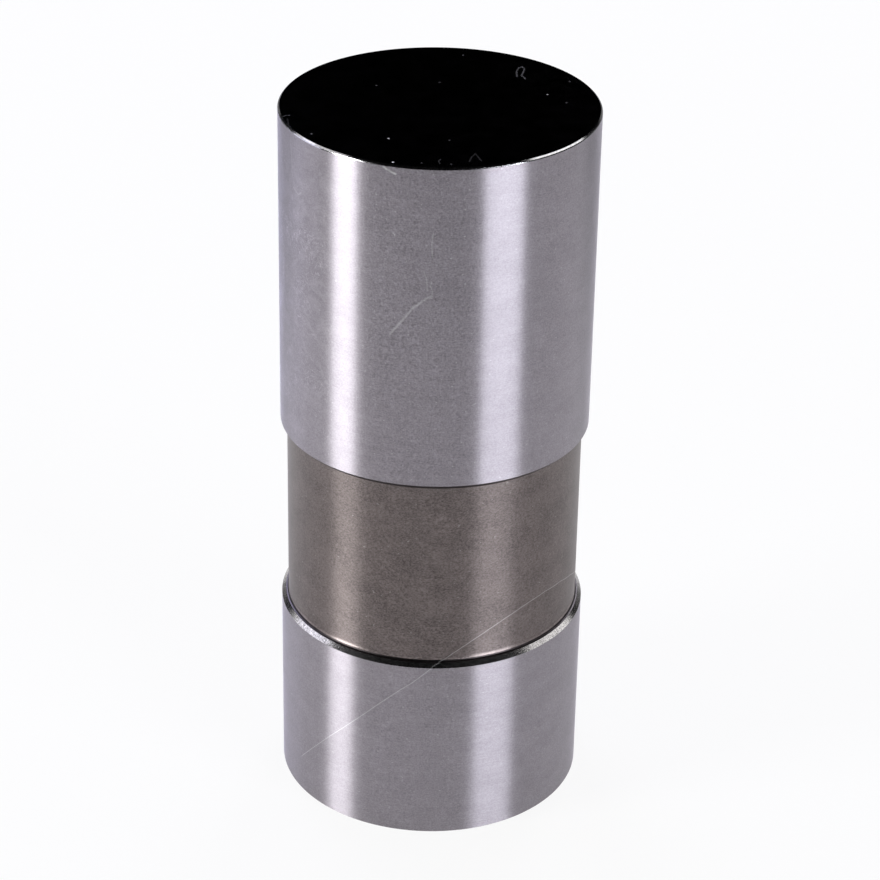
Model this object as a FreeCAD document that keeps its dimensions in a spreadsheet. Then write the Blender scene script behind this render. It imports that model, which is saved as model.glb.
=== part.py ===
"""Hydraulic valve lifter for a flat-faced cam follower, standing on its open mouth with the cam foot up.

+Z runs from the mouth to the foot along the lifter's axis. The origin is the centre of the mouth's rim.
All lengths are millimetres. Inside, from the mouth upwards: a wire clip holds the pushrod seat, the
metering disc floats in the seat's back, the hollow plunger follows with a ball valve in its end, and
the plunger spring pushes the whole stack down from the floor of the body.
"""

import FreeCAD, Part
import Sketcher
import math
import os

VECTOR = FreeCAD.Vector

# Driving dimensions: alias, value and what it measures.
SIZES = (
    ("overall_length", 50.8, "rim of the mouth to the crown of the foot"),
    ("land_diameter", 21.387, "ground outside, a running fit in the engine's lifter bore"),
    ("mouth_land_length", 14.0, "rim to the oil band's lower shoulder"),
    ("band_length", 13.7, "oil band, shoulder to shoulder"),
    ("band_depth", 0.4635, "radial step from the ground lands to the oil band"),
    ("shoulder_chamfer", 0.28, "bevel on the lands beside the oil band"),
    ("band_fillet", 0.17, "inside corner of the oil band"),
    ("foot_edge_round", 0.12, "rounded edge of the foot"),
    ("foot_crown", 0.04, "how far the foot's middle stands above its edge"),
    ("rim_edge_break", 0.1, "bevel on the outside of the rim"),
    ("bore_diameter", 16.22, "plunger bore"),
    ("mouth_chamfer", 0.5, "lead-in at the mouth of the bore"),
    ("foot_thickness", 6.3, "crown of the foot to the floor of the spring well"),
    ("well_diameter", 14.4, "spring well beyond the plunger's stop ledge"),
    ("well_corner_round", 0.4, "corner round the floor of the spring well, outside the spring"),
    ("feed_hole_diameter", 2.4, "oil feed through the band, and through the plunger"),
    ("annulus_width", 3.4, "oil annulus turned inside the bore"),
    ("annulus_depth", 0.45, "radial depth of that annulus"),
    ("clip_height", 1.5, "rim to the middle of the clip's wire"),
    ("clip_wire_diameter", 1.0, "wire of the retaining clip"),
    ("clip_grip", 0.33, "how far the clip's wire reaches into its groove"),
    ("clip_groove_room", 0.05, "radial room of the wire in its groove"),
    ("clip_gap", 4.4, "distance between the clip's two turned-in tangs"),
    ("clip_bend_radius", 0.9, "bend from the ring into a tang"),
    ("clip_tang_length", 1.1, "straight end of a tang"),
    ("seat_thickness", 7.0, "pushrod seat, face to back"),
    ("seat_clearance", 0.04, "radial clearance of the pushrod seat"),
    ("seat_chamfer", 0.1, "bevel round the face that the clip bears on"),
    ("seat_back_chamfer", 0.3, "bevel round the seat's back"),
    ("socket_radius", 4.02, "ball socket for a 7.94 mm pushrod end"),
    ("socket_mouth_diameter", 7.8, "where the socket meets its lead-in"),
    ("socket_lead_in", 0.8, "45 degree lead-in at the seat's face"),
    ("seat_oil_hole_diameter", 1.8, "oil hole up to the pushrod"),
    ("disc_diameter", 11.8, "metering disc"),
    ("disc_thickness", 0.4, "metering disc"),
    ("disc_float", 0.2, "how far the metering disc can lift"),
    ("disc_side_room", 0.2, "radial room round the metering disc"),
    ("plunger_length", 22.0, "face to rim"),
    ("plunger_clearance", 0.03, "radial clearance in the bore"),
    ("plunger_travel", 4.2, "from the clip to the stop ledge"),
    ("plunger_edge_chamfer", 0.3, "bevels on the plunger's outside"),
    ("reservoir_diameter", 10.4, "oil reservoir inside the plunger"),
    ("reservoir_mouth_chamfer", 0.35, "bevel at the mouth of the reservoir"),
    ("reservoir_drill_cone", 1.3, "height of the cone at the reservoir's end"),
    ("valve_wall", 4.0, "reservoir's end to the cage's floor"),
    ("groove_width", 5.2, "oil groove round the plunger, edge to edge"),
    ("groove_depth", 0.6, "radial depth of that groove"),
    ("groove_height", 10.1, "plunger's face to the middle of the groove"),
    ("valve_port_diameter", 2.8, "port that the ball closes"),
    ("valve_seat_diameter", 4.6, "mouth of the 45 degree valve seat"),
    ("ball_diameter", 4.762, "check ball"),
    ("ball_lift", 0.8, "how far the check ball can leave its seat"),
    ("cage_sheet", 0.5, "sheet of the ball cage"),
    ("cage_flange_diameter", 13.8, "flange that the plunger spring presses on"),
    ("cage_flange_room", 0.05, "radial room of that flange in its recess"),
    ("cage_inside_diameter", 5.6, "inside of the cage's hat"),
    ("cage_bend_radius", 0.35, "inside bends of the cage's sheet"),
    ("window_width", 1.9, "oil window in the cage's side"),
    ("window_height", 2.0, "oil window in the cage's side"),
    ("ball_spring_wire", 0.25, "wire of the check ball's spring"),
    ("ball_spring_diameter", 2.3, "middle of the wire, across the check ball's spring"),
    ("ball_spring_coils", 4.0, "turns, with the closed ones"),
    ("spring_wire", 1.1, "wire of the plunger spring"),
    ("spring_diameter", 12.4, "middle of the wire, across the plunger spring"),
    ("spring_coils", 5.0, "turns, with the closed ones"),
    ("spring_tip", 0.3, "wire left at the plunger spring's ground tips"),
    ("coil_gap", 0.03, "room left between closed turns"),
    ("touch_gap", 0.02, "room left between pieces that bear on each other at a curved face"),
)

# Places and sizes that follow from the driving dimensions.
PLACES = (
    ("land_radius", "Sizes.land_diameter / 2"),
    ("band_radius", "land_radius - Sizes.band_depth"),
    ("band_start", "Sizes.mouth_land_length"),
    ("band_end", "band_start + Sizes.band_length"),
    ("band_round", "min(Sizes.band_fillet; 0.95 * (Sizes.band_depth - Sizes.shoulder_chamfer))"),
    ("foot_edge", "Sizes.overall_length - Sizes.foot_crown"),
    ("bore_radius", "Sizes.bore_diameter / 2"),
    ("well_radius", "Sizes.well_diameter / 2"),
    ("well_floor", "Sizes.overall_length - Sizes.foot_thickness"),
    ("feed_height", "band_start + Sizes.band_length / 2"),
    ("wire_radius", "Sizes.clip_wire_diameter / 2"),
    ("clip_ring_radius", "bore_radius + Sizes.clip_grip - wire_radius"),
    ("groove_half_width", "sqrt((wire_radius + Sizes.clip_groove_room)^2"
     " - (bore_radius - clip_ring_radius)^2)"),
    ("bend_centre_x", "Sizes.clip_gap / 2 + Sizes.clip_bend_radius"),
    ("bend_centre_y", "-sqrt((clip_ring_radius - Sizes.clip_bend_radius)^2 - bend_centre_x^2)"),
    ("tang_end", "bend_centre_y + Sizes.clip_tang_length"),
    ("seat_radius", "bore_radius - Sizes.seat_clearance"),
    ("seat_face", "Sizes.clip_height + wire_radius + Sizes.touch_gap"),
    ("seat_back", "seat_face + Sizes.seat_thickness"),
    ("socket_mouth_radius", "Sizes.socket_mouth_diameter / 2"),
    ("socket_edge", "seat_face + Sizes.socket_lead_in"),
    ("socket_centre", "socket_edge - sqrt(Sizes.socket_radius^2 - socket_mouth_radius^2)"),
    ("oil_hole_radius", "Sizes.seat_oil_hole_diameter / 2"),
    ("socket_top", "socket_centre + sqrt(Sizes.socket_radius^2 - oil_hole_radius^2)"),
    ("disc_recess", "seat_back - Sizes.disc_thickness - Sizes.disc_float"),
    ("disc_recess_radius", "Sizes.disc_diameter / 2 + Sizes.disc_side_room"),
    ("plunger_radius", "bore_radius - Sizes.plunger_clearance"),
    ("plunger_face", "seat_back"),
    ("plunger_end", "plunger_face + Sizes.plunger_length"),
    ("stop_ledge", "plunger_end + Sizes.plunger_travel + Sizes.touch_gap"),
    ("reservoir_radius", "Sizes.reservoir_diameter / 2"),
    ("cage_floor", "plunger_end - Sizes.cage_sheet"),
    ("reservoir_end", "cage_floor - Sizes.valve_wall"),
    ("groove_middle", "plunger_face + Sizes.groove_height"),
    ("port_radius", "Sizes.valve_port_diameter / 2"),
    ("valve_seat_radius", "Sizes.valve_seat_diameter / 2"),
    ("ball_radius", "Sizes.ball_diameter / 2"),
    ("ball_centre", "cage_floor - valve_seat_radius + sqrt(2) * (ball_radius + Sizes.touch_gap)"),
    ("cage_flange_radius", "Sizes.cage_flange_diameter / 2"),
    ("cage_inside_radius", "Sizes.cage_inside_diameter / 2"),
    ("cage_outside_radius", "cage_inside_radius + Sizes.cage_sheet"),
    ("ball_spring_radius", "Sizes.ball_spring_diameter / 2"),
    ("ball_spring_foot", "ball_centre - Sizes.ball_spring_wire / 2"
     " + sqrt((ball_radius + Sizes.ball_spring_wire / 2 + Sizes.touch_gap)^2 - ball_spring_radius^2)"),
    ("ball_spring_shut", "Sizes.ball_spring_coils * (Sizes.ball_spring_wire + Sizes.coil_gap)"
     " + Sizes.ball_spring_wire"),
    ("cage_roof", "ball_spring_foot + ball_spring_shut + Sizes.ball_lift + Sizes.touch_gap"),
    ("cage_outer_round", "Sizes.cage_bend_radius + Sizes.cage_sheet"),
    ("window_middle", "(cage_floor + Sizes.cage_sheet + cage_roof) / 2"),
)

# How the springs are wound: closed turns at each end, and the part of a turn over which the pitch changes.
CLOSED_TURNS = 1.0
EASE_TURNS = 0.5
PATH_POINTS_PER_TURN = 12


def add_sizes(doc):
    """The sheet of driving dimensions, and the places worked out from it."""
    sheet = doc.addObject("Spreadsheet::Sheet", "Sizes")
    for row, (alias, value, note) in enumerate(SIZES, start=1):
        sheet.set(f"A{row}", alias)
        sheet.set(f"B{row}", str(value))
        sheet.set(f"C{row}", note)
        sheet.setAlias(f"B{row}", alias)
    doc.recompute()
    places = doc.addObject("App::VarSet", "Places")
    for name, expression in PLACES:
        places.addProperty("App::PropertyFloat", name, "Worked out")
        places.setExpression(name, expression)
    doc.recompute()
    return places


def value(doc, expression):
    """The number that an expression over Sizes and Places gives."""
    return float(doc.Places.evalExpression(expression))


def new_body(doc, label):
    """A body for one turned or pressed piece, with the label that names its file."""
    body = doc.addObject("PartDesign::Body", label)
    body.Label = label
    return body


def new_sketch(body, name, role, offset="0"):
    """A sketch on one of the body's own origin planes, moved along the plane's normal by an expression."""
    sketch = body.newObject("Sketcher::SketchObject", name)
    plane = next(f for f in body.Origin.OriginFeatures if f.Role == role)
    sketch.AttachmentSupport = [(plane, "")]
    sketch.MapMode = "FlatFace"
    sketch.setExpression("AttachmentOffset.Base.z", offset)
    return sketch


def fix_point(sketch, geometry, point, across, up):
    """Holds one point of a sketch at two expressions, measured from the sketch's origin."""
    doc = sketch.Document
    for kind, expression in (("DistanceX", across), ("DistanceY", up)):
        if expression is None:
            continue
        size = value(doc, expression)
        index = sketch.addConstraint(Sketcher.Constraint(kind, -1, 1, geometry, point, size))
        sketch.setExpression(f"Constraints[{index}]", expression)


def arc_between(start, end, centre_x):
    """The arc from start to end about a centre at centre_x, and which of its ends is the start."""
    (ax, ay), (bx, by) = start, end
    centre_y = ((ax - centre_x) ** 2 - (bx - centre_x) ** 2 + ay**2 - by**2) / (2 * (ay - by))
    from_angle = math.atan2(ay - centre_y, ax - centre_x)
    to_angle = math.atan2(by - centre_y, bx - centre_x)
    turn = math.remainder(to_angle - from_angle, 2 * math.pi)
    if turn < 0:
        from_angle, to_angle = to_angle, from_angle
    radius = math.hypot(ax - centre_x, ay - centre_y)
    circle = Part.Circle(VECTOR(centre_x, centre_y, 0), VECTOR(0, 0, 1), radius)
    return Part.ArcOfCircle(circle, from_angle, to_angle), (1, 2) if turn > 0 else (2, 1)


def draw_section(sketch, outline):
    """Draws a closed half section, fully tied to expressions.

    Each corner is (radius, height), and the side that leaves it is straight. A third entry makes that
    side an arc instead, and gives the distance of the arc's centre from the axis.
    """
    doc = sketch.Document
    points = [(value(doc, c[0]), value(doc, c[1])) for c in outline]
    sides = []
    for index, corner in enumerate(outline):
        start, end = points[index], points[(index + 1) % len(points)]
        if len(corner) == 3:
            curve, ends = arc_between(start, end, value(doc, corner[2]))
        else:
            curve = Part.LineSegment(VECTOR(*start, 0), VECTOR(*end, 0))
            ends = (1, 2)
        sides.append((sketch.addGeometry(curve), *ends))
    for index, corner in enumerate(outline):
        side, first, last = sides[index]
        following, next_first, _ = sides[(index + 1) % len(sides)]
        sketch.addConstraint(Sketcher.Constraint("Coincident", side, last, following, next_first))
        fix_point(sketch, side, first, corner[0], corner[1])
        if len(corner) == 3:
            fix_point(sketch, side, 3, corner[2], None)


def turn(body, outline):
    """Adds to the body the solid that the outline sweeps in a full turn about the axis."""
    sketch = new_sketch(body, body.Label + "_section", "XZ_Plane")
    draw_section(sketch, outline)
    turned = body.newObject("PartDesign::Revolution", body.Label + "_turned")
    turned.Profile = sketch
    turned.ReferenceAxis = (sketch, ["V_Axis"])
    turned.Angle = 360
    sketch.Visibility = False
    body.Document.recompute()
    return turned


def drill_back_wall(body, diameter, height):
    """Drills a round hole from the axis out through the wall on the +Y side."""
    doc = body.Document
    before = body.Shape.Volume
    sketch = new_sketch(body, body.Label + "_feed_hole", "XZ_Plane")
    radius = f"{diameter} / 2"
    circle = Part.Circle(VECTOR(0, value(doc, height), 0), VECTOR(0, 0, 1), value(doc, radius))
    hole = sketch.addGeometry(circle)
    index = sketch.addConstraint(Sketcher.Constraint("Radius", hole, value(doc, radius)))
    sketch.setExpression(f"Constraints[{index}]", radius)
    fix_point(sketch, hole, 3, "0", height)
    pocket = body.newObject("PartDesign::Pocket", body.Label + "_feed")
    pocket.Profile = sketch
    pocket.Type = "ThroughAll"
    sketch.Visibility = False
    doc.recompute()
    if not body.Shape.Volume < before:
        raise ValueError(f"{body.Label}: the feed hole cut nothing")


def lifter_body(doc):
    """The cast follower: two ground lands, the oil band, a crowned foot, and the stepped bore inside."""
    body = new_body(doc, "lifter_body")
    turn(body, [
        ("Places.bore_radius + Sizes.mouth_chamfer", "0"),
        ("Places.land_radius - Sizes.rim_edge_break", "0"),
        ("Places.land_radius", "Sizes.rim_edge_break"),
        ("Places.land_radius", "Places.band_start - Sizes.shoulder_chamfer"),
        ("Places.land_radius - Sizes.shoulder_chamfer", "Places.band_start"),
        ("Places.band_radius + Places.band_round", "Places.band_start",
         "Places.band_radius + Places.band_round"),
        ("Places.band_radius", "Places.band_start + Places.band_round"),
        ("Places.band_radius", "Places.band_end - Places.band_round",
         "Places.band_radius + Places.band_round"),
        ("Places.band_radius + Places.band_round", "Places.band_end"),
        ("Places.land_radius - Sizes.shoulder_chamfer", "Places.band_end"),
        ("Places.land_radius", "Places.band_end + Sizes.shoulder_chamfer"),
        ("Places.land_radius", "Places.foot_edge - Sizes.foot_edge_round",
         "Places.land_radius - Sizes.foot_edge_round"),
        ("Places.land_radius - Sizes.foot_edge_round", "Places.foot_edge", "0"),
        ("0", "Sizes.overall_length"),
        ("0", "Places.well_floor"),
        ("Places.well_radius - Sizes.well_corner_round", "Places.well_floor",
         "Places.well_radius - Sizes.well_corner_round"),
        ("Places.well_radius", "Places.well_floor - Sizes.well_corner_round"),
        ("Places.well_radius", "Places.stop_ledge"),
        ("Places.bore_radius", "Places.stop_ledge"),
        ("Places.bore_radius", "Places.feed_height + Sizes.annulus_width / 2 + Sizes.annulus_depth"),
        ("Places.bore_radius + Sizes.annulus_depth", "Places.feed_height + Sizes.annulus_width / 2"),
        ("Places.bore_radius + Sizes.annulus_depth", "Places.feed_height - Sizes.annulus_width / 2"),
        ("Places.bore_radius", "Places.feed_height - Sizes.annulus_width / 2 - Sizes.annulus_depth"),
        ("Places.bore_radius", "Sizes.clip_height + Places.groove_half_width", "Places.clip_ring_radius"),
        ("Places.bore_radius", "Sizes.clip_height - Places.groove_half_width"),
        ("Places.bore_radius", "Sizes.mouth_chamfer"),
    ])
    drill_back_wall(body, "Sizes.feed_hole_diameter", "Places.feed_height")
    return body


def plunger(doc):
    """The hollow plunger: oil groove and feed hole, reservoir, and the valve port and seat in its end."""
    body = new_body(doc, "plunger")
    turn(body, [
        ("Places.reservoir_radius + Sizes.reservoir_mouth_chamfer", "Places.plunger_face"),
        ("Places.plunger_radius - Sizes.plunger_edge_chamfer", "Places.plunger_face"),
        ("Places.plunger_radius", "Places.plunger_face + Sizes.plunger_edge_chamfer"),
        ("Places.plunger_radius", "Places.groove_middle - Sizes.groove_width / 2"),
        ("Places.plunger_radius - Sizes.groove_depth",
         "Places.groove_middle - Sizes.groove_width / 2 + Sizes.groove_depth"),
        ("Places.plunger_radius - Sizes.groove_depth",
         "Places.groove_middle + Sizes.groove_width / 2 - Sizes.groove_depth"),
        ("Places.plunger_radius", "Places.groove_middle + Sizes.groove_width / 2"),
        ("Places.plunger_radius", "Places.plunger_end - Sizes.plunger_edge_chamfer"),
        ("Places.plunger_radius - Sizes.plunger_edge_chamfer", "Places.plunger_end"),
        ("Places.cage_flange_radius + Sizes.cage_flange_room", "Places.plunger_end"),
        ("Places.cage_flange_radius + Sizes.cage_flange_room", "Places.cage_floor"),
        ("Places.valve_seat_radius", "Places.cage_floor"),
        ("Places.port_radius", "Places.cage_floor - Places.valve_seat_radius + Places.port_radius"),
        ("Places.port_radius", "Places.reservoir_end"),
        ("Places.reservoir_radius", "Places.reservoir_end - Sizes.reservoir_drill_cone"),
        ("Places.reservoir_radius", "Places.plunger_face + Sizes.reservoir_mouth_chamfer"),
    ])
    drill_back_wall(body, "Sizes.feed_hole_diameter", "Places.groove_middle")
    return body


def pushrod_seat(doc):
    """The hardened cup that the pushrod's ball end sits in, with its oil hole and the disc's recess."""
    body = new_body(doc, "pushrod_seat")
    turn(body, [
        ("Places.oil_hole_radius", "Places.disc_recess"),
        ("Places.oil_hole_radius", "Places.socket_top", "0"),
        ("Places.socket_mouth_radius", "Places.socket_edge"),
        ("Places.socket_mouth_radius + Sizes.socket_lead_in", "Places.seat_face"),
        ("Places.seat_radius - Sizes.seat_chamfer", "Places.seat_face"),
        ("Places.seat_radius", "Places.seat_face + Sizes.seat_chamfer"),
        ("Places.seat_radius", "Places.seat_back - Sizes.seat_back_chamfer"),
        ("Places.seat_radius - Sizes.seat_back_chamfer", "Places.seat_back"),
        ("Places.disc_recess_radius", "Places.seat_back"),
        ("Places.disc_recess_radius", "Places.disc_recess"),
    ])
    return body


def metering_disc(doc):
    """The loose disc that meters the oil on its way to the pushrod."""
    disc = doc.addObject("Part::Cylinder", "metering_disc")
    disc.setExpression("Radius", "Sizes.disc_diameter / 2")
    disc.setExpression("Height", "Sizes.disc_thickness")
    disc.setExpression("Placement.Base.z", "Places.disc_recess")
    return disc


def check_ball(doc):
    """The ball that closes the valve port when the cam loads the lifter."""
    ball = doc.addObject("Part::Sphere", "check_ball")
    ball.setExpression("Radius", "Places.ball_radius")
    ball.setExpression("Placement.Base.z", "Places.ball_centre")
    return ball


def ball_cage(doc):
    """The pressed hat that keeps the ball, with its flange in the plunger's end and four oil windows."""
    body = new_body(doc, "ball_cage")
    turn(body, [
        ("0", "Places.cage_roof"),
        ("0", "Places.cage_roof + Sizes.cage_sheet"),
        ("Places.cage_outside_radius - Places.cage_outer_round", "Places.cage_roof + Sizes.cage_sheet",
         "Places.cage_outside_radius - Places.cage_outer_round"),
        ("Places.cage_outside_radius", "Places.cage_roof + Sizes.cage_sheet - Places.cage_outer_round"),
        ("Places.cage_outside_radius", "Places.plunger_end + Sizes.cage_bend_radius",
         "Places.cage_outside_radius + Sizes.cage_bend_radius"),
        ("Places.cage_outside_radius + Sizes.cage_bend_radius", "Places.plunger_end"),
        ("Places.cage_flange_radius", "Places.plunger_end"),
        ("Places.cage_flange_radius", "Places.cage_floor"),
        ("Places.cage_inside_radius + Places.cage_outer_round", "Places.cage_floor",
         "Places.cage_inside_radius + Places.cage_outer_round"),
        ("Places.cage_inside_radius", "Places.cage_floor + Places.cage_outer_round"),
        ("Places.cage_inside_radius", "Places.cage_roof - Sizes.cage_bend_radius",
         "Places.cage_inside_radius - Sizes.cage_bend_radius"),
        ("Places.cage_inside_radius - Sizes.cage_bend_radius", "Places.cage_roof"),
    ])
    before = body.Shape.Volume
    window = new_sketch(body, "window", "XZ_Plane")
    corners = [
        (across, f"Places.window_middle {up} Sizes.window_height / 2")
        for across, up in (
            ("-Sizes.window_width / 2", "-"),
            ("Sizes.window_width / 2", "-"),
            ("Sizes.window_width / 2", "+"),
            ("-Sizes.window_width / 2", "+"),
        )
    ]
    draw_section(window, corners)
    pair = body.newObject("PartDesign::Pocket", "window_pair")
    pair.Profile = window
    pair.Type = "ThroughAll"
    pair.Midplane = True
    doc.recompute()
    pattern = body.newObject("PartDesign::PolarPattern", "windows")
    pattern.Originals = [pair]
    pattern.Axis = (next(f for f in body.Origin.OriginFeatures if f.Role == "Z_Axis"), [""])
    pattern.Angle = 180
    pattern.Occurrences = 2
    body.Tip = pattern
    window.Visibility = False
    doc.recompute()
    if not body.Shape.Volume < before:
        raise ValueError("the cage's windows cut nothing")
    return body


def retaining_clip(doc):
    """The round-wire ring that snaps into the mouth, with a gap and two tangs turned in."""
    body = new_body(doc, "retaining_clip")
    path = new_sketch(body, "clip_path", "XY_Plane", "Sizes.clip_height")
    ring = value(doc, "Places.clip_ring_radius")
    bend = value(doc, "Sizes.clip_bend_radius")
    side = value(doc, "Sizes.clip_gap / 2")
    bend_x = value(doc, "Places.bend_centre_x")
    bend_y = value(doc, "Places.bend_centre_y")
    tang_end = value(doc, "Places.tang_end")
    meet = math.atan2(bend_y, bend_x)
    up = VECTOR(0, 0, 1)
    ring_circle = Part.Circle(VECTOR(0, 0, 0), up, ring)
    ring_arc = path.addGeometry(Part.ArcOfCircle(ring_circle, meet, math.pi - meet))
    path.addConstraint(Sketcher.Constraint("Coincident", ring_arc, 3, -1, 1))
    index = path.addConstraint(Sketcher.Constraint("Radius", ring_arc, ring))
    path.setExpression(f"Constraints[{index}]", "Places.clip_ring_radius")
    for sign, ring_end in ((1, 1), (-1, 2)):
        circle = Part.Circle(VECTOR(sign * bend_x, bend_y, 0), up, bend)
        angles = (math.pi, 2 * math.pi + meet) if sign > 0 else (math.pi - meet, 2 * math.pi)
        bend_arc = path.addGeometry(Part.ArcOfCircle(circle, *angles))
        at_ring, at_tang = (2, 1) if sign > 0 else (1, 2)
        tang = path.addGeometry(
            Part.LineSegment(VECTOR(sign * side, bend_y, 0), VECTOR(sign * side, tang_end, 0))
        )
        path.addConstraint(Sketcher.Constraint("Tangent", ring_arc, ring_end, bend_arc, at_ring))
        path.addConstraint(Sketcher.Constraint("Tangent", bend_arc, at_tang, tang, 1))
        index = path.addConstraint(Sketcher.Constraint("Radius", bend_arc, bend))
        path.setExpression(f"Constraints[{index}]", "Sizes.clip_bend_radius")
        path.addConstraint(Sketcher.Constraint("Vertical", tang))
        across = "Sizes.clip_gap / 2" if sign > 0 else "-Sizes.clip_gap / 2"
        fix_point(path, tang, 2, across, "Places.tang_end")
    section = new_sketch(body, "clip_wire", "XZ_Plane", "-Places.tang_end")
    wire = section.addGeometry(Part.Circle(VECTOR(side, value(doc, "Sizes.clip_height"), 0), up,
                                           value(doc, "Places.wire_radius")))
    index = section.addConstraint(Sketcher.Constraint("Radius", wire, value(doc, "Places.wire_radius")))
    section.setExpression(f"Constraints[{index}]", "Places.wire_radius")
    fix_point(section, wire, 3, "Sizes.clip_gap / 2", "Sizes.clip_height")
    doc.recompute()
    swept = body.newObject("PartDesign::AdditivePipe", "clip_swept")
    swept.Profile = section
    swept.Spine = (path, [f"Edge{n}" for n in range(1, len(path.Shape.Edges) + 1)])
    path.Visibility = False
    section.Visibility = False
    doc.recompute()
    return body


def coil_height(at, turns, rise, closed_pitch):
    """How far the wire has climbed after so many turns, closed at both ends and open between them."""
    open_turns = turns - 2 * CLOSED_TURNS
    extra_pitch = (rise - closed_pitch * turns) / open_turns

    def climbed(past):
        """Open turns climbed, when the pitch began to open this many turns ago."""
        eased = min(max(past, 0), EASE_TURNS)
        return eased**2 / (2 * EASE_TURNS) + max(past - EASE_TURNS, 0)

    opens = CLOSED_TURNS - EASE_TURNS / 2
    closes = turns - CLOSED_TURNS - EASE_TURNS / 2
    return closed_pitch * at + extra_pitch * (climbed(at - opens) - climbed(at - closes))


def coil(ring_radius, wire_radius, turns, first, last, closed_pitch):
    """Round wire wound right-handed about the axis, its middle running between two heights."""
    steps = round(turns * PATH_POINTS_PER_TURN)
    points = []
    for step in range(steps + 1):
        at = turns * step / steps
        angle = 2 * math.pi * at
        height = first + coil_height(at, turns, last - first, closed_pitch)
        points.append(VECTOR(ring_radius * math.cos(angle), ring_radius * math.sin(angle), height))
    middle = Part.BSplineCurve()
    middle.interpolate(points)
    start = middle.FirstParameter
    section = Part.makeCircle(wire_radius, middle.value(start), middle.tangent(start)[0])
    path = Part.Wire([middle.toShape()])
    return path.makePipeShell([Part.Wire([section])], True, True)


def ball_spring(doc):
    """The light spring between the ball's crown and the cage's roof. It is shut when the ball is lifted."""
    wire_radius = value(doc, "Sizes.ball_spring_wire / 2")
    spring = doc.addObject("Part::Feature", "ball_spring")
    spring.Shape = coil(
        ring_radius=value(doc, "Places.ball_spring_radius"),
        wire_radius=wire_radius,
        turns=value(doc, "Sizes.ball_spring_coils"),
        first=value(doc, "Places.ball_spring_foot") + wire_radius,
        last=value(doc, "Places.cage_roof - Sizes.touch_gap") - wire_radius,
        closed_pitch=value(doc, "Sizes.ball_spring_wire + Sizes.coil_gap"),
    )
    return spring


def plunger_spring(doc):
    """The spring that takes up the slack, from the cage's flange to the floor of the well, ground flat."""
    wire_radius = value(doc, "Sizes.spring_wire / 2")
    ring_radius = value(doc, "Sizes.spring_diameter / 2")
    low = value(doc, "Places.plunger_end + Sizes.touch_gap")
    high = value(doc, "Places.well_floor")
    ground_away = wire_radius - value(doc, "Sizes.spring_tip")
    wound = coil(
        ring_radius=ring_radius,
        wire_radius=wire_radius,
        turns=value(doc, "Sizes.spring_coils"),
        first=low - ground_away,
        last=high + ground_away,
        closed_pitch=value(doc, "Sizes.spring_wire + Sizes.coil_gap"),
    )
    between_faces = Part.makeCylinder(ring_radius + 2 * wire_radius, high - low, VECTOR(0, 0, low))
    spring = doc.addObject("Part::Feature", "plunger_spring")
    spring.Shape = wound.common(between_faces)
    return spring


PIECES = (
    lifter_body,
    retaining_clip,
    pushrod_seat,
    metering_disc,
    plunger,
    check_ball,
    ball_cage,
    ball_spring,
    plunger_spring,
)


def check_document(doc, pieces):
    """Stops if any object failed to compute or any piece is not a valid solid."""
    failed = [o.Label for o in doc.Objects if {"Invalid", "Error"} & set(o.State)]
    if failed:
        raise ValueError(f"these objects failed: {failed}")
    for piece in pieces:
        shape = piece.Shape
        if shape.isNull() or not shape.isValid() or len(shape.Solids) != 1:
            raise ValueError(f"{piece.Label} is not one valid solid")


def main():
    doc = FreeCAD.newDocument("ValveLifter")
    add_sizes(doc)
    pieces = [make(doc) for make in PIECES]
    doc.recompute()
    check_document(doc, pieces)
    os.makedirs("parts", exist_ok=True)
    for piece in pieces:
        piece.Shape.exportStep(f"parts/{piece.Label}.step")
        print(f"{piece.Label}: {piece.Shape.Volume:.2f} mm3")
    return doc


main()
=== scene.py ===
"""The hydraulic valve lifter in a plain studio: its steels, its springs, the light and the camera.

Everything is in the part's own frame: +Z up the lifter's axis, the mouth's rim at zero, and the camera on the
-Y side. Nodes and meshes are in metres. The sizes in the tables are in millimetres and their angles in
degrees, those round the lifter from -Y towards +X.
"""

import math

import bmesh
import bpy
from mathutils import Matrix, Vector


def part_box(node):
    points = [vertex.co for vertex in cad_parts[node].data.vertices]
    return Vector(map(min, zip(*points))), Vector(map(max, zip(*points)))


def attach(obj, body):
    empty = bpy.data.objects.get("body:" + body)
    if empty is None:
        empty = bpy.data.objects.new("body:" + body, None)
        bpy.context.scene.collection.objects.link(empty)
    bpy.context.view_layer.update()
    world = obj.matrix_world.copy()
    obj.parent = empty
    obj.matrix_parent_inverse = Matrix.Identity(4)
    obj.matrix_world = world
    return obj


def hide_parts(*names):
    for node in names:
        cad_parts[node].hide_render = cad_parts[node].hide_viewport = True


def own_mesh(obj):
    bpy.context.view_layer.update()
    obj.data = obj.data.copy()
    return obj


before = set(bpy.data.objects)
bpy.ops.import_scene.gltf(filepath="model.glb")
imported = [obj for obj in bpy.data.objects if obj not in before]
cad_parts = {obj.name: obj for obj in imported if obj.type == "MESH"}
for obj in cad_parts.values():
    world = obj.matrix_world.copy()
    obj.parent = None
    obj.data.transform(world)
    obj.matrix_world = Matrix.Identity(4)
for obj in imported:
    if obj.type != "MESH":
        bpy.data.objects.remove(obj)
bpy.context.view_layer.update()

MM = 0.001

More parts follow.
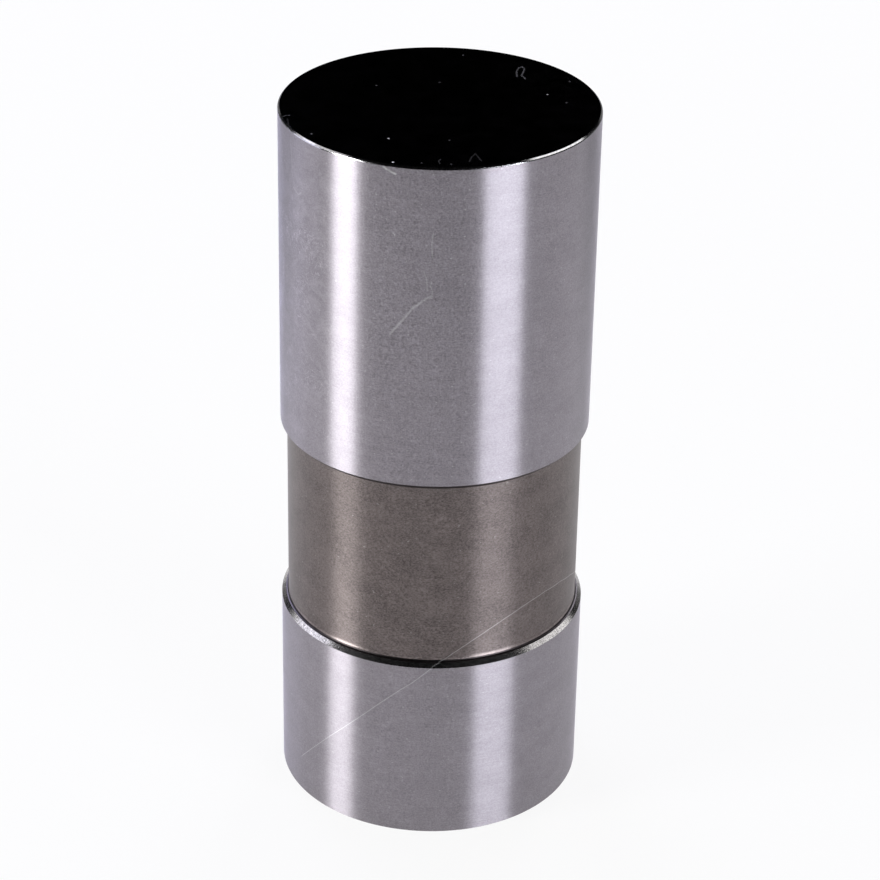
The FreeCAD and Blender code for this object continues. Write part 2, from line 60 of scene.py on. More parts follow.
# Sizes of the body, in mm, as the CAD solid has them.
LAND_RADIUS = 10.6935
BAND_RADIUS = 10.23
BAND_START = 14.0
BAND_END = 27.7
BAND_FILLET = 0.17
BEVEL = 0.28
FOOT_EDGE = 50.76
FOOT_CROWN = 0.04
EDGE_ROUND = 0.12
RIM_BREAK = 0.1
BORE_RADIUS = 8.11
MOUTH_CHAMFER = 0.5
WELL_RADIUS = 7.2
WELL_FLOOR = 44.5
WELL_ROUND = 0.4
STOP_LEDGE = 35.24
FEED_HEIGHT = 20.85
FEED_RADIUS = 1.2
ANNULUS_HALF = 1.7
ANNULUS_DEPTH = 0.45
CLIP_HEIGHT = 1.5
GROOVE_CENTRE = 7.94
GROOVE_RADIUS = 0.55

# The scene's own: the foot's edge is drawn as a flat bevel with a steeper one under it, where the solid has a
# round. The steeper one starts this far inside the land, in mm.
EDGE_BLEND = 0.03


class Graph:
    """A node tree, with short names for the nodes that work out numbers, vectors and colours."""

    def __init__(self, tree):
        self.tree = tree
        tree.nodes.clear()

    def feed(self, socket, source):
        """Links an output to the socket, or sets the socket to a number, a vector or a colour."""
        if isinstance(source, bpy.types.NodeSocket):
            self.tree.links.new(source, socket)
        elif isinstance(source, tuple) and len(source) == 3 and len(socket.default_value) == 4:
            socket.default_value = (*source, 1.0)
        else:
            socket.default_value = source

    def node(self, kind, *sources, **settings):
        """A new node with these settings, its first inputs fed from the sources."""
        made = self.tree.nodes.new(kind)
        for key, setting in settings.items():
            setattr(made, key, setting)
        for socket, source in zip(made.inputs, sources):
            self.feed(socket, source)
        return made

    def math(self, operation, *sources, clamp=False):
        return self.node("ShaderNodeMath", *sources, operation=operation, use_clamp=clamp).outputs[0]

    def _folded(self, operation, sources):
        outcome, *rest = sources
        for source in rest:
            outcome = self.math(operation, outcome, source)
        return outcome

    def add(self, *sources):
        return self._folded("ADD", sources)

    def times(self, *sources):
        return self._folded("MULTIPLY", sources)

    def least(self, *sources):
        return self._folded("MINIMUM", sources)

    def greatest(self, *sources):
        return self._folded("MAXIMUM", sources)

    def vector(self, operation, *sources):
        """The outcome of vector arithmetic: a number for a dot product or a length, else a vector."""
        made = self.node("ShaderNodeVectorMath", *sources, operation=operation)
        return made.outputs["Value" if operation in ("DOT_PRODUCT", "LENGTH") else "Vector"]

    def split(self, vector):
        """The x, y and z of a vector."""
        return tuple(self.node("ShaderNodeSeparateXYZ", vector).outputs)

    def angle_round_axis(self, x, y):
        """Angle round the lifter, from -Y towards +X, in radians."""
        return self.math("ARCTAN2", x, self.times(y, -1.0))

    def _mapped(self, interpolation, *sources):
        return self.node("ShaderNodeMapRange", *sources, interpolation_type=interpolation).outputs[0]

    def ramp(self, source, low, high, to_low=0.0, to_high=1.0):
        """The source mapped from one range to another, straight in between and level beyond the ends."""
        return self._mapped("LINEAR", source, low, high, to_low, to_high)

    def ease(self, source, low, high, to_low=0.0, to_high=1.0):
        """As ramp, but with a smooth start and end."""
        return self._mapped("SMOOTHSTEP", source, low, high, to_low, to_high)

    def mix(self, share, first, second):
        """A number between two, by share."""
        made = self.node("ShaderNodeMix", share)
        self.feed(made.inputs[2], first)
        self.feed(made.inputs[3], second)
        return made.outputs[0]

    def tint(self, share, first, second):
        """A colour between two, by share."""
        made = self.node("ShaderNodeMix", share, data_type="RGBA")
        self.feed(made.inputs[6], first)
        self.feed(made.inputs[7], second)
        return made.outputs[2]

    def scaled(self, colour, factor):
        """A colour or vector times a number that varies."""
        made = self.node("ShaderNodeVectorMath", colour, operation="SCALE")
        self.feed(made.inputs["Scale"], factor)
        return made.outputs["Vector"]

    def noise(self, vector, scale=1.0, detail=2.0, roughness=0.5, distortion=0.0):
        made = self.node("ShaderNodeTexNoise")
        for socket, source in (("Vector", vector), ("Scale", scale), ("Detail", detail),
                               ("Roughness", roughness), ("Distortion", distortion)):
            self.feed(made.inputs[socket], source)
        return made.outputs["Fac"]

    def band(self, source, low, high, soft):
        """1 between low and high, fading to 0 over soft outside them."""
        return self.times(self.ease(source, low - soft, low), self.ease(source, high, high + soft, 1.0, 0.0))

    def near(self, source, middle, half_width):
        """1 where source equals middle, fading to 0 at half_width from it."""
        away = self.math("ABSOLUTE", self.math("SUBTRACT", source, middle))
        return self.ease(away, 0.0, half_width, 1.0, 0.0)


class Surface(Graph):
    """A metal's material: one Principled shader, and the place on the lifter that its look varies with."""

    def __init__(self, name):
        self.material = bpy.data.materials.new(name)
        self.material.use_nodes = True
        super().__init__(self.material.node_tree)
        self.shader = self.node("ShaderNodeBsdfPrincipled")
        self.node("ShaderNodeOutputMaterial", self.shader.outputs["BSDF"])
        self.set("Metallic", 1.0)
        self.place = self.node("ShaderNodeTexCoord").outputs["Object"]
        self._position = None

    def set(self, socket, source):
        """Feeds a named input of the shader."""
        self.feed(self.shader.inputs[socket], source)

    def position(self):
        """The point's angle round the lifter, in radians, and its height, in metres."""
        if self._position is None:
            x, y, z = self.split(self.place)
            self._position = self.angle_round_axis(x, y), z
        return self._position

    def unrolled(self):
        """The land's surface laid flat: the way round it and the height, in metres."""
        angle, height = self.position()
        return self.node("ShaderNodeCombineXYZ", self.times(angle, LAND_RADIUS * MM), height).outputs[0]

    def stretched(self, x, y, z):
        """The point with each axis scaled."""
        return self.vector("MULTIPLY", self.place, (x, y, z))

    def turned_noise(self, across, along, **settings):
        """Noise with one scale across the lifter's axis and another along it."""
        return self.noise(self.stretched(across, across, along), **settings)

    def nicks(self, strength):
        """A few tiny nicks, far apart: strength in each, and 0 between them."""
        spots = self.turned_noise(across=4200.0, along=6000.0, detail=1.0)
        return self.times(self.ease(spots, 0.73, 0.78), strength)

    def bump(self, height, distance):
        made = self.node("ShaderNodeBump")
        self.feed(made.inputs["Distance"], distance)
        self.feed(made.inputs["Height"], height)
        self.set("Normal", made.outputs[0])

    def ground_round_axis(self, anisotropic):
        """Grinding marks that run round the Z axis, so highlights stretch along it."""
        self.set("Anisotropic", anisotropic)
        self.set("Anisotropic Rotation", QUARTER_TURN)
        self.set("Tangent", self.node("ShaderNodeTangent", direction_type="RADIAL", axis="Z").outputs[0])


QUARTER_TURN = 0.25

# The part of its range that a noise mostly stays in, and nearly always stays in; and the middle part in which
# the lands' and the band's grain goes from bare metal to dull.
NOISE_CORE = (0.3, 0.7)
NOISE_SPAN = (0.2, 0.8)
GRAIN_CORE = (0.36, 0.64)


def round_land(*points):
    """Points of (angle in degrees, height in mm) laid flat, as (way round, height) in mm."""
    return tuple((math.radians(angle) * LAND_RADIUS, height) for angle, height in points)


# Marks on the outside: points of (angle in degrees, height in mm) along each. The long hairline starts on the
# lower land and climbs over its bevel into the band. At its ends it fades out over some degrees. Its half
# width, in mm, and its strength differ on the land, on the band, and on the narrow surfaces between them.
LONG_HAIRLINE = (
    (-60.0, 2.5), (-40.7, 6.27), (-28.95, 8.5), (-18.7, 10.46), (-11.06, 11.8), (-6.87, 12.43),
    (0.84, 13.81), (5.32, 14.16), (9.45, 14.71), (12.92, 15.13), (16.83, 15.57), (23.29, 16.22),
    (29.67, 16.74), (36.54, 17.17), (41.53, 17.39), (49.99, 17.56), (60.72, 17.43), (71.38, 16.94),
    (80.0, 16.3), (90.0, 15.3),
)
HAIRLINE_FADE = 3
HAIRLINE_ON_LAND = (0.04, 0.65)
HAIRLINE_ON_BAND = (0.04, 0.6)
HAIRLINE_BETWEEN = (0.05, 0.5)
BROAD_SCRATCH = round_land((-16.0, 39.0), (-12.1, 40.0), (-8.0, 41.04), (-3.5, 41.74), (-1.8, 41.89))
SCRATCH_TAIL = round_land((-1.8, 41.89), (-1.5, 42.25), (-2.2, 42.59), (-1.9, 42.95))
EDGE_SCRATCH = round_land((-19.0, 50.53), (-16.5, 50.29), (-14.8, 50.17))
RUB_MARKS = (
    round_land((-1.6, 46.3), (-2.0, 45.5), (-1.7, 44.6)),
    round_land((-4.6, 43.6), (-3.6, 43.1), (-3.3, 42.3)),
    round_land((-64.0, 50.0), (-63.0, 49.0), (-62.5, 47.6)),
    round_land((-62.0, 46.9), (-58.0, 46.6), (-56.0, 46.9)),
)
# Lines that are drawn alike, their half width in mm, and their strength.
LAND_MARKS = (
    ((BROAD_SCRATCH,), 0.13, 0.30),
    ((EDGE_SCRATCH,), 0.12, 0.60),
    ((SCRATCH_TAIL, *RUB_MARKS), 0.07, 0.22),
)
# Where the land is smeared by hands: from, to, and what it fades over, in degrees and in mm.
SMEAR_ANGLES = (-82, -45, 8)
SMEAR_HEIGHTS = (31, 47, 4)


def curve_height(surface, points):
    """Height along a curve through (angle, height) points, as a chain of straight pieces."""
    around, _ = surface.position()
    (angle, height), *rest = points
    outcome = height
    for next_angle, next_height in rest:
        climb = surface.ramp(around, angle, next_angle, 0.0, next_height - height)
        outcome = surface.add(climb, outcome)
        angle, height = next_angle, next_height
    return outcome


def hairline(surface, half_width, strength):
    """The long hairline: strength on it, fading to 0 at half_width in mm from it and at both of its ends."""
    angle, height = surface.position()
    path = [(math.radians(point_angle), point_height * MM) for point_angle, point_height in LONG_HAIRLINE]
    line = surface.near(height, curve_height(surface, path), half_width * MM)
    soft = math.radians(HAIRLINE_FADE)
    return surface.times(line, surface.band(angle, path[0][0] + soft, path[-1][0] - soft, soft), strength)


def drawn(surface, place, lines, half_width):
    """Fine marks along chains of points in mm: 1 on a line, fading to 0 at half_width in mm from it."""
    gaps = []
    for points in lines:
        corners = [Vector((u * MM, v * MM, 0.0)) for u, v in points]
        for start, end in zip(corners, corners[1:]):
            run = end - start
            offset = surface.vector("SUBTRACT", place, tuple(start))
            along = surface.vector("DOT_PRODUCT", offset, tuple(run))
            share = surface.math("DIVIDE", along, run.length_squared, clamp=True)
            aside = surface.vector("SUBTRACT", offset, surface.scaled(tuple(run), share))
            gaps.append(surface.vector("LENGTH", aside))
    return surface.ease(surface.least(*gaps), 0.0, half_width * MM, 1.0, 0.0)


def land_smears(s, flat):
    """Faint smears of handling on the left of the upper land: smudges, and thin swirls in patches."""
    smudges = s.ease(s.noise(flat, scale=600.0, detail=4.0, roughness=0.6, distortion=1.5), 0.46, 0.62)
    swirls = s.near(s.noise(flat, scale=800.0, detail=3.0, roughness=0.55, distortion=2.5), 0.5, 0.018)
    patches = s.ease(s.noise(flat, scale=260.0, detail=1.0), 0.42, 0.6)
    angle, height = s.position()
    across = s.band(angle, *(math.radians(part) for part in SMEAR_ANGLES))
    upwards = s.band(height, *(part * MM for part in SMEAR_HEIGHTS))
    return s.times(s.add(s.times(smudges, 0.18), s.times(swirls, patches, 0.8)), across, upwards)


LAND_COLOUR = (0.384, 0.354, 0.388)
SMEAR_COLOUR = (0.66, 0.62, 0.66)
LAND_SCRATCH_COLOUR = (0.86, 0.86, 0.86)


def ground_land():
    """The ground lands: fine marks round the axis, faint handling smears and scratches."""
    s = Surface("ground_land")
    streaks = s.turned_noise(across=260.0, along=9000.0, detail=3.0, roughness=0.6)
    grain = s.turned_noise(across=7500.0, along=11000.0, roughness=0.8)
    clouds = s.turned_noise(across=420.0, along=700.0, detail=5.0, roughness=0.65)
    level = s.add(s.ramp(streaks, *NOISE_CORE, 0.93, 1.01), s.ramp(grain, *NOISE_CORE, -0.15, 0.15),
                  s.ease(clouds, *NOISE_CORE, -0.05, 0.05))
    flat = s.unrolled()
    smears = land_smears(s, flat)
    scratches = [s.times(drawn(s, flat, lines, half_width), strength)
                 for lines, half_width, strength in LAND_MARKS]
    marks = s.greatest(hairline(s, *HAIRLINE_ON_LAND), *scratches, s.nicks(0.3))
    colour = s.tint(smears, s.scaled(LAND_COLOUR, level), SMEAR_COLOUR)
    s.set("Base Color", s.tint(marks, colour, LAND_SCRATCH_COLOUR))
    s.set("Metallic", s.ramp(grain, *GRAIN_CORE, 1.0, 0.69))
    s.set("Roughness", s.add(s.ramp(streaks, *NOISE_SPAN, 0.33, 0.37), s.times(smears, 0.15)))
    s.bump(s.add(streaks, s.times(grain, 0.5)), 0.6e-6)
    s.ground_round_axis(1.0)
    return s.material


BAND_COLOUR = (0.169, 0.142, 0.137)
BAND_SCRATCH_COLOUR = (0.62, 0.60, 0.60)
BAND_BUMP = 2.0e-6
# The foot of the band, just over its corner: how far up its colour is painted brighter, in mm, and how much,
# as a painted highlight for the lamps' glow there; and how far up it curves out as a slight hollow, in mm,
# the power of that curve, and its depth in BAND_BUMPs.
GLOW_PAINT_REACH = 0.25
GLOW_PAINT_LEVEL = 1.8
HOLLOW_REACH = 0.4
HOLLOW_POWER = 3.0
HOLLOW_DEPTH = 34.0


def oil_band():
    """The oil band between the lands: dull brown-grey, turned and lightly blasted, not ground."""
    s = Surface("oil_band")
    turning = s.turned_noise(across=150.0, along=6000.0, detail=3.0, roughness=0.6)
    grain = s.turned_noise(across=6500.0, along=9500.0, roughness=0.8)
    clouds = s.turned_noise(across=450.0, along=600.0, detail=5.0, roughness=0.65)
    level = s.add(s.ramp(turning, *NOISE_SPAN, 0.95, 1.05), s.ramp(grain, *NOISE_CORE, -0.30, 0.30),
                  s.ease(clouds, *NOISE_CORE, -0.12, 0.12))
    _, height = s.position()
    foot = (BAND_START + BAND_FILLET) * MM
    # Painted highlight: the band's colour is brighter at its foot, standing in for the lamps' glow on it
    # there.
    painted_glow = s.ease(height, foot, foot + GLOW_PAINT_REACH * MM, GLOW_PAINT_LEVEL, 1.0)
    marks = s.greatest(hairline(s, *HAIRLINE_ON_BAND), s.nicks(0.25))
    s.set("Base Color", s.tint(marks, s.scaled(BAND_COLOUR, s.times(level, painted_glow)), BAND_SCRATCH_COLOUR))
    s.set("Metallic", s.ramp(grain, *GRAIN_CORE, 1.0, 0.62))
    s.set("Roughness", s.ramp(grain, *NOISE_SPAN, 0.31, 0.39))
    hollow = s.math("POWER", s.ramp(height, foot, foot + HOLLOW_REACH * MM, 1.0, 0.0), HOLLOW_POWER)
    s.bump(s.add(grain, s.times(turning, 0.5), s.times(hollow, HOLLOW_DEPTH)), BAND_BUMP)
    s.ground_round_axis(0.93)
    return s.material


def colour_with_hairline(s, colour, hairline_colour):
    """Colours one of the narrow surfaces between land and band, with the long hairline across it."""
    marks = hairline(s, *HAIRLINE_BETWEEN)
    s.set("Base Color", s.tint(marks, colour, hairline_colour))
    s.set("Metallic", s.math("SUBTRACT", 1.0, s.times(marks, 0.3)))


BEVEL_COLOUR = (0.66, 0.635, 0.63)
BEVEL_SCRATCH_COLOUR = (0.8, 0.8, 0.8)
# The corners' near-black colour is painted shade, for the shade in the recesses round the oil band.
CORNER_SHADE_COLOUR = (0.055, 0.047, 0.048)
CORNER_SCRATCH_COLOUR = (0.6, 0.6, 0.6)
EDGE_COLOUR = (0.84, 0.82, 0.84)


def bevel():
    """The bevel of the lower land beside the oil band: coarse turned steel that glitters."""
    s = Surface("bevel")
    grain = s.noise(s.place, scale=8500.0, roughness=0.7)
    colour = s.scaled(BEVEL_COLOUR, s.ramp(grain, *NOISE_CORE, 0.55, 1.45))
    colour_with_hairline(s, colour, BEVEL_SCRATCH_COLOUR)
    s.set("Roughness", s.ramp(grain, *NOISE_SPAN, 0.14, 0.22))
    s.bump(grain, 4.0e-6)
    return s.material


def corner():
    """The rounds at both ends of the oil band and the bevel over it: dull, and nearly black as painted shade
    for the shade in these corners.
    """
    s = Surface("corner")
    grain = s.turned_noise(across=1500.0, along=6500.0, roughness=0.7)
    # Painted shade: this near-black colour stands in for the shade in these corners.
    colour = s.scaled(CORNER_SHADE_COLOUR, s.ramp(grain, *NOISE_CORE, 0.8, 1.2))
    colour_with_hairline(s, colour, CORNER_SCRATCH_COLOUR)
    s.set("Roughness", s.ramp(grain, *NOISE_SPAN, 0.30, 0.38))
    s.bump(grain, 1.0e-6)
    return s.material


def foot_edge():
    """The small bevel between the foot and the upper land, and the break of the rim: polished."""
    s = Surface("foot_edge")
    grain = s.noise(s.place, scale=5000.0)
    s.set("Base Color", s.scaled(EDGE_COLOUR, s.ramp(grain, *NOISE_CORE, 0.85, 1.15)))
    s.set("Roughness", s.ramp(grain, *NOISE_SPAN, 0.1, 0.16))
    s.bump(grain, 0.4e-6)
    return s.material


FOOT_COLOUR = (0.42, 0.41, 0.42)
DUST_COLOUR = (0.75, 0.74, 0.74)
# Dust on the foot: specks as x, y, radius and strength, and fibres as strength, half width and points, in mm.
FOOT_SPECKS = (
    (-3.26, -6.04, 0.12, 0.50), (7.1, 2.07, 0.12, 0.40), (-8.21, -5.44, 0.11, 0.25),
    (-4.27, 3.14, 0.11, 0.20), (8.32, 0.7, 0.11, 0.20), (0.63, -6.19, 0.10, 0.15),
    (-0.08, 3.89, 0.10, 0.15), (8.64, 4.5, 0.11, 0.15), (-2.9, -9.85, 0.12, 0.90),
    (0.75, -10.0, 0.10, 0.15), (-1.1, -9.9, 0.10, 0.12), (1.5, 9.1, 0.10, 0.15),
)
FOOT_FIBRES = (
    (0.16, 0.09, ((5.13, 5.25), (5.11, 6.18), (5.26, 6.84), (5.5, 7.13), (5.66, 6.77), (5.58, 6.11),
                  (5.44, 5.54), (5.69, 4.82))),
    (0.06, 0.08, ((1.9, -9.57), (2.0, -8.92), (2.28, -8.25), (2.53, -9.06), (2.66, -9.37))),
    (0.08, 0.07, ((0.08, -9.25), (-0.05, -9.58), (0.05, -9.98))),
    (0.12, 0.09, ((-10.2, -2.6), (-10.02, -2.4), (-9.78, -2.36))),
    (0.05, 0.08, ((-9.88, -2.97), (-9.77, -3.82), (-9.81, -4.16))),
)
# The share of a speck's radius over which it keeps its strength.
SPECK_CORE = 0.3


def speck(surface, flat, x, y, radius, strength):
    """A small round speck on the foot, its place and radius in mm, that fades out to its rim."""
    away = surface.vector("LENGTH", surface.vector("SUBTRACT", flat, (x * MM, y * MM, 0.0)))
    return surface.times(surface.ease(away, SPECK_CORE * radius * MM, radius * MM, 1.0, 0.0), strength)


def cam_foot():
    """The lapped foot: a dark mirror under the dark ceiling, with a few specks and fibres of dust."""
    s = Surface("cam_foot")
    flat = s.stretched(1.0, 1.0, 0.0)
    specks = [speck(s, flat, *sizes) for sizes in FOOT_SPECKS]
    fibres = [s.times(drawn(s, flat, (points,), half_width), strength)
              for strength, half_width, points in FOOT_FIBRES]
    dust = s.greatest(*specks, *fibres)
    lapping = s.noise(s.place, scale=900.0, detail=4.0)
    s.set("Base Color", s.tint(dust, FOOT_COLOUR, DUST_COLOUR))
    s.set("Metallic", s.math("SUBTRACT", 1.0, dust))
    s.set("Roughness", s.add(s.ease(lapping, *NOISE_CORE, 0.045, 0.07), s.times(dust, 0.6)))
    return s.material


# The share by which a plain steel's roughness goes up and down with its marks.
ROUGH_SPREAD = 0.12


def plain_steel(name, colour, rough, grain_scale=5000.0, grain_level=0.12, bump_height=1.0e-6, streak=None):
    """A steel with its own colour, roughness and grain; streak is the scales of its turning marks, if any."""
    s = Surface(name)
    grain = s.noise(s.place, scale=grain_scale, detail=3.0, roughness=0.6)
    marks = s.turned_noise(*streak) if streak else grain
    level = s.add(s.ramp(grain, *NOISE_SPAN, 1 - grain_level, 1 + grain_level),
                  s.ramp(marks, *NOISE_SPAN, -grain_level / 2, grain_level / 2))
    s.set("Base Color", s.scaled(colour, level))
    s.set("Roughness", s.ramp(marks, *NOISE_SPAN, rough * (1 - ROUGH_SPREAD), rough * (1 + ROUGH_SPREAD)))
    s.bump(s.add(grain, marks), bump_height)
    return s.material


def arc(centre, radius, from_degrees, to_degrees, steps):
    """Points (radius, height) along an arc, both ends included."""
    points = []
    for step in range(steps + 1):
        angle = math.radians(from_degrees + (to_degrees - from_degrees) * step / steps)
        points.append((centre[0] + radius * math.cos(angle), centre[1] + radius * math.sin(angle)))
    return points


# How finely the body is turned, and the angle in degrees from which its edges stay sharp.
BODY_SEGMENTS = 256
CROWN_RINGS = 8
ROUND_STEPS = 8
GROOVE_STEPS = 10
DRILL_SEGMENTS = 64
SHARP_DEGREES = 16


def body_section():
    """Half section of the body as (radius, height) points in mm, from the crown round to the well's floor."""
    edge = LAND_RADIUS - EDGE_ROUND
    corner_middle = BAND_RADIUS + BAND_FILLET
    groove = math.degrees(math.acos((BORE_RADIUS - GROOVE_CENTRE) / GROOVE_RADIUS))
    crown = [ring / CROWN_RINGS for ring in range(CROWN_RINGS + 1)]
    section = [(edge * share, FOOT_EDGE + FOOT_CROWN * (1 - share ** 2)) for share in crown]
    section += [(LAND_RADIUS - EDGE_BLEND, FOOT_EDGE - EDGE_ROUND + EDGE_BLEND)]
    section += [(LAND_RADIUS, FOOT_EDGE - EDGE_ROUND - EDGE_BLEND)]
    section += [(LAND_RADIUS, BAND_END + BEVEL), (LAND_RADIUS - BEVEL, BAND_END)]
    section += arc((corner_middle, BAND_END - BAND_FILLET), BAND_FILLET, 90, 180, ROUND_STEPS)
    section += arc((corner_middle, BAND_START + BAND_FILLET), BAND_FILLET, 180, 270, ROUND_STEPS)
    section += [(LAND_RADIUS - BEVEL, BAND_START), (LAND_RADIUS, BAND_START - BEVEL)]
    section += [(LAND_RADIUS, RIM_BREAK), (LAND_RADIUS - RIM_BREAK, 0.0)]
    section += [(BORE_RADIUS + MOUTH_CHAMFER, 0.0), (BORE_RADIUS, MOUTH_CHAMFER)]
    section += arc((GROOVE_CENTRE, CLIP_HEIGHT), GROOVE_RADIUS, -groove, groove, GROOVE_STEPS)
    for depth, side in ((0, -1), (ANNULUS_DEPTH, -1), (ANNULUS_DEPTH, 1), (0, 1)):
        height = FEED_HEIGHT + side * (ANNULUS_HALF + ANNULUS_DEPTH - depth)
        section.append((BORE_RADIUS + depth, height))
    section += [(BORE_RADIUS, STOP_LEDGE), (WELL_RADIUS, STOP_LEDGE)]
    section += arc((WELL_RADIUS - WELL_ROUND, WELL_FLOOR - WELL_ROUND), WELL_ROUND, 0, 90, ROUND_STEPS)
    section.append((0.0, WELL_FLOOR))
    return section


def turned(mesh, section, segments):
    """Turns a half section in mm, which starts and ends on the axis, about Z into a closed mesh."""
    rings = []
    for radius, height in section:
        if radius == 0.0:
            rings.append([mesh.verts.new((0.0, 0.0, height * MM))])
            continue
        ring = []
        for segment in range(segments):
            angle = 2 * math.pi * segment / segments
            place = (radius * MM * math.cos(angle), radius * MM * math.sin(angle), height * MM)
            ring.append(mesh.verts.new(place))
        rings.append(ring)
    for upper, lower in zip(rings, rings[1:]):
        for segment in range(segments):
            after = (segment + 1) % segments
            if len(upper) == 1:
                mesh.faces.new((upper[0], lower[segment], lower[after]))
            elif len(lower) == 1:
                mesh.faces.new((upper[segment], lower[0], upper[after]))
            else:
                mesh.faces.new((upper[segment], lower[segment], lower[after], upper[after]))
    bmesh.ops.recalc_face_normals(mesh, faces=mesh.faces[:])


def object_of(name, mesh):
    """Puts a bmesh into a new object in the scene, and frees it."""
    data = bpy.data.meshes.new(name)
    mesh.to_mesh(data)
    mesh.free()
    made = bpy.data.objects.new(name, data)
    bpy.context.scene.collection.objects.link(made)
    return made


def feed_drill():
    """The cylinder that cuts the feed hole, from outside the band into the bore."""
    drill = bmesh.new()
    middle = Matrix.Translation((0.0, LAND_RADIUS * MM, FEED_HEIGHT * MM))
    bmesh.ops.create_cone(drill, cap_ends=True, segments=DRILL_SEGMENTS, radius1=FEED_RADIUS * MM,
                          radius2=FEED_RADIUS * MM, depth=LAND_RADIUS * MM,
                          matrix=middle @ Matrix.Rotation(math.pi / 2, 4, "X"))
    return object_of("feed_drill", drill)


def fine_body():
    """The body turned afresh in a finer mesh than the solid's, with the feed hole at the back."""
    mesh = bmesh.new()
    turned(mesh, body_section(), BODY_SEGMENTS)
    body = object_of("fine_body", mesh)
    drill = feed_drill()
    cut = body.modifiers.new("feed", "BOOLEAN")
    cut.operation = "DIFFERENCE"
    cut.solver = "EXACT"
    cut.object = drill
    drilled = bpy.data.meshes.new_from_object(body.evaluated_get(bpy.context.evaluated_depsgraph_get()))
    body.modifiers.clear()
    whole, drill_data = body.data, drill.data
    body.data = drilled
    bpy.data.meshes.remove(whole)
    bpy.data.objects.remove(drill)
    bpy.data.meshes.remove(drill_data)
    for face in drilled.polygons:
        face.use_smooth = True
    drilled.set_sharp_from_angle(angle=math.radians(SHARP_DEGREES))
    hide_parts("lifter_body")
    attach(body, "body")
    return body


# How far off its surface the middle of a face can lie, in mm, and the most that an upright face's normal can
# point up or down.
FACE_SLACK = 0.01
UPRIGHT_NORMAL = 0.2


def finish_of(radius, height, upright):
    """The name of the finish where a face lies, by its middle's radius and height in mm."""
    if height > FOOT_EDGE - FACE_SLACK:
        return "foot"
    if height > FOOT_EDGE - EDGE_ROUND - EDGE_BLEND:
        return "edge"
    if radius > LAND_RADIUS - FACE_SLACK and upright:
        return "land"
    if radius > BAND_RADIUS - FACE_SLACK and upright and BAND_START < height < BAND_END:
        return "band"
    if radius > LAND_RADIUS - BEVEL and BAND_START - BEVEL - FACE_SLACK < height < BAND_START:
        return "bevel"
    if radius > BAND_RADIUS - FACE_SLACK and BAND_START - FACE_SLACK < height < BAND_END + BEVEL + FACE_SLACK:
        return "corner"
    if height < RIM_BREAK and radius > BORE_RADIUS + MOUTH_CHAMFER:
        return "edge"
    return "bore"


def dress_body(body):
    """Gives each face of the lifter's body its own finish, by where it lies."""
    finishes = {
        "land": ground_land(),
        "band": oil_band(),
        "bevel": bevel(),
        "corner": corner(),
        "edge": foot_edge(),
        "foot": cam_foot(),
        "bore": plain_steel("turned_bore", (0.34, 0.325, 0.32), 0.34, streak=(300.0, 7000.0)),
    }
    body.data.materials.clear()
    for finish in finishes.values():
        body.data.materials.append(finish)
    order = list(finishes)
    for face in body.data.polygons:
        x, y, height = (part / MM for part in face.center)
        finish = finish_of(math.hypot(x, y), height, abs(face.normal.z) < UPRIGHT_NORMAL)
        face.material_index = order.index(finish)


# The springs, drawn as finer round wire than the CAD solids that they stand for: the wire's radius, the
# coil's radius to the wire's middle, the turns, and how far a closed turn climbs. Lengths are in mm.
PLUNGER_SPRING = (0.55, 6.2, 5.0, 1.13)
BALL_SPRING = (0.125, 1.15, 4.0, 0.28)
# What the grinding leaves of the plunger spring's wire at its very ends, in mm.
GROUND_TIP = 0.3
# The turns at each end that are closed, and those over which the pitch then changes.
SPRING_CLOSED_TURNS = 1.0
SPRING_EASE_TURNS = 0.5
RINGS_PER_TURN = 48
POINTS_PER_RING = 16
# How far ahead and behind, in turns, the wire's direction is taken from, and how near to a cut a corner of
# the mesh counts as on it, in metres.
DIRECTION_REACH = 0.01
CUT_SLACK = 1e-9


def climbed(past):
    """The extra pitch that a coil has climbed, in turns of it, so many turns after it starts to open."""
    eased = min(max(past, 0.0), SPRING_EASE_TURNS)
    return eased**2 / (2 * SPRING_EASE_TURNS) + max(past - SPRING_EASE_TURNS, 0.0)


def coil_middle(at, turns, ring_radius, first, last, closed_pitch):
    """The middle of the wire after so many turns."""
    extra = (last - first - closed_pitch * turns) / (turns - 2 * SPRING_CLOSED_TURNS)
    opens = SPRING_CLOSED_TURNS - SPRING_EASE_TURNS / 2
    closes = turns - SPRING_CLOSED_TURNS - SPRING_EASE_TURNS / 2
    rise = closed_pitch * at + extra * (climbed(at - opens) - climbed(at - closes))
    angle = 2 * math.pi * at
    return Vector((ring_radius * math.cos(angle), ring_radius * math.sin(angle), first + rise))


